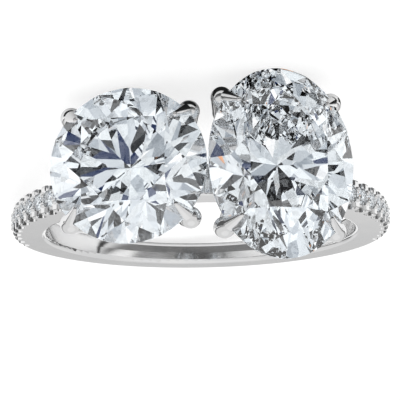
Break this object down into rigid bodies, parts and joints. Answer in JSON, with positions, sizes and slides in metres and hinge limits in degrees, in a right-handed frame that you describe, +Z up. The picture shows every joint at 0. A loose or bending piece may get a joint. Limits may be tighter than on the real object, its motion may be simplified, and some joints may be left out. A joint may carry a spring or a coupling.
{
  "type": "toi et moi ring",
  "caption": "Ring with a round and an oval brilliant side by side in claw heads on a slim white gold band, its shoulders set with small stones.",
  "frame": {"origin": "centre of the box around the ring, on the surface that it lies on", "axes": "+Z up from that surface, close to the axis of the finger hole; -Y towards the tables of the main stones; +X towards the round stone"},
  "size_m": [0.0212, 0.0255, 0.009],
  "materials": {
    "white_gold": "polished",
    "diamond": "polished"
  },
  "bodies": {
    "root": {"ring_mount": "white_gold", "round_stone": "diamond", "oval_stone": "diamond", "pave_round_1": "diamond", "pave_round_2": "diamond", "pave_round_3": "diamond", "pave_round_4": "diamond", "pave_round_5": "diamond", "pave_round_6": "diamond", "pave_round_7": "diamond", "pave_round_8": "diamond", "pave_round_9": "diamond", "pave_round_10": "diamond", "pave_round_11": "diamond", "pave_round_12": "diamond", "pave_round_13": "diamond", "pave_oval_1": "diamond", "pave_oval_2": "diamond", "pave_oval_3": "diamond", "pave_oval_4": "diamond", "pave_oval_5": "diamond", "pave_oval_6": "diamond", "pave_oval_7": "diamond", "pave_oval_8": "diamond", "pave_oval_9": "diamond", "pave_oval_10": "diamond", "pave_oval_11": "diamond", "pave_oval_12": "diamond", "pave_oval_13": "diamond"}
  },
  "joints": []
}
